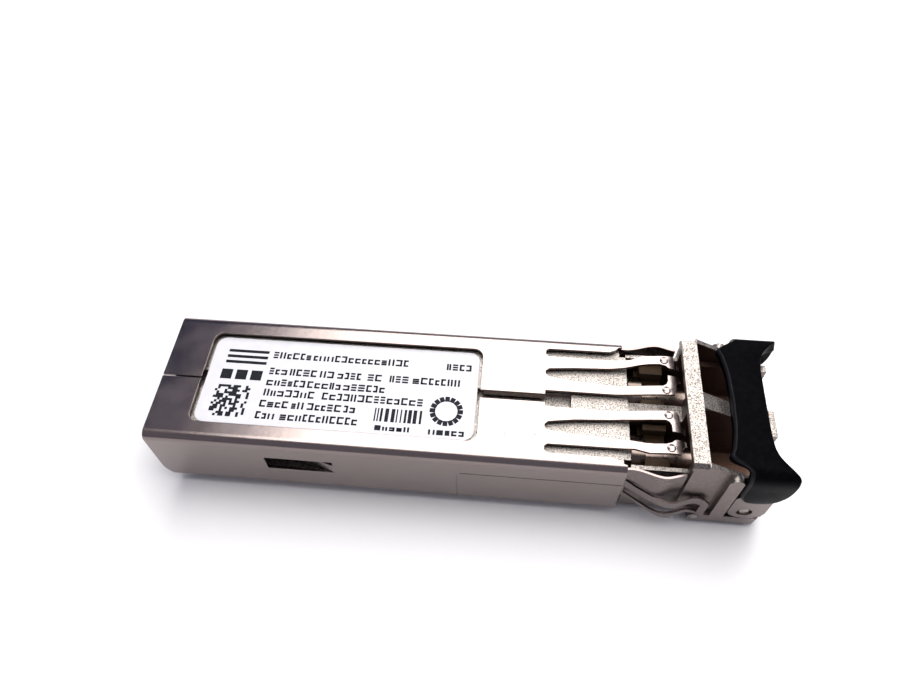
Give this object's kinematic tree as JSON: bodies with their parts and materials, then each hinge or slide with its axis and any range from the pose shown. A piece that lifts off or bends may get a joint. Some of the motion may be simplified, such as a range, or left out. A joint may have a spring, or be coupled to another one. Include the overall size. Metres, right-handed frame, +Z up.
{
  "type": "optical transceiver module",
  "caption": "Pluggable optical transceiver with a sheet-metal cover, die-cast nose with two side-by-side fibre ports, and a swinging bail that works a rocking latch lever.",
  "frame": {"origin": "centre of the base: midway along the length and width, at the level of the latch boss's tip", "axes": "+Z up, label side up; -Y towards the fibre ports and bail, +Y towards the edge connector; X across the module"},
  "size_m": [0.0148, 0.056, 0.0107],
  "materials": {
    "cover_sheet": "satin nickel-plated sheet with fine rolling grain",
    "spring_sheet": "satin nickel-plated spring sheet",
    "cast_metal": "granular, blasted and nickel-plated die casting",
    "label_paper": "matte white label film with dark grey print",
    "amber_plastic": "translucent amber moulding",
    "sleeve_metal": "turned stainless steel",
    "can_metal": "gold-tinted plated can",
    "flex_film": "copper-coloured flexible circuit",
    "board_laminate": "green solder mask over laminate",
    "contact_gold": "hard gold plating",
    "chip_moulding": "black moulding compound",
    "ceramic_tan": "tan ceramic",
    "ceramic_dark": "dark ceramic",
    "pad_silicone": "soft grey-blue thermal pad",
    "pin_steel": "bright turned steel",
    "lever_sheet": "satin pressed stainless sheet",
    "spring_steel": "blued spring steel",
    "black_plastic": "satin black moulding with fine texture"
  },
  "bodies": {
    "module": {"top_cover": "cover_sheet", "side_spring_left": "spring_sheet", "side_spring_right": "spring_sheet", "main_housing": "cast_metal", "front_housing": "cast_metal", "label": "label_paper", "lc_holder": "amber_plastic", "laser_sleeve": "sleeve_metal", "receiver_sleeve": "sleeve_metal", "laser_can": "can_metal", "receiver_can": "can_metal", "laser_flex": "flex_film", "receiver_flex": "flex_film", "can_clamp": "spring_sheet", "main_board": "board_laminate", "edge_contacts": "contact_gold", "laser_driver_chip": "chip_moulding", "receiver_amplifier_chip": "chip_moulding", "memory_chip": "chip_moulding", "capacitors": "ceramic_tan", "resistors": "ceramic_dark", "inductors": "ceramic_dark", "thermal_pad": "pad_silicone", "board_screws": "pin_steel", "lever_pin": "pin_steel", "latch_spring": "spring_steel", "bail_pins": "pin_steel"},
    "lever": {"latch_lever": "lever_sheet"},
    "bail": {"bail_grip": "black_plastic", "bail_arm_left": "lever_sheet", "bail_arm_right": "lever_sheet"}
  },
  "joints": [
    {"name": "bail_swing", "type": "hinge", "parent": "module", "child": "bail", "pos_m": [0, -0.0255, 0.0031], "axis": [1, 0, 0], "range_deg": [0, 90]},
    {"name": "lever_rock", "type": "hinge", "parent": "module", "child": "lever", "pos_m": [0, -0.02155, 0.00125], "axis": [1, 0, 0], "range_deg": [0, 8.5], "stiffness_Nm_per_rad": 0.003, "springref_deg": -5.73, "deforming": ["latch_spring"]}
  ],
  "couplings": [
    {"joint": "lever_rock", "follows": "bail_swing", "ratio": 0.094444}
  ]
}
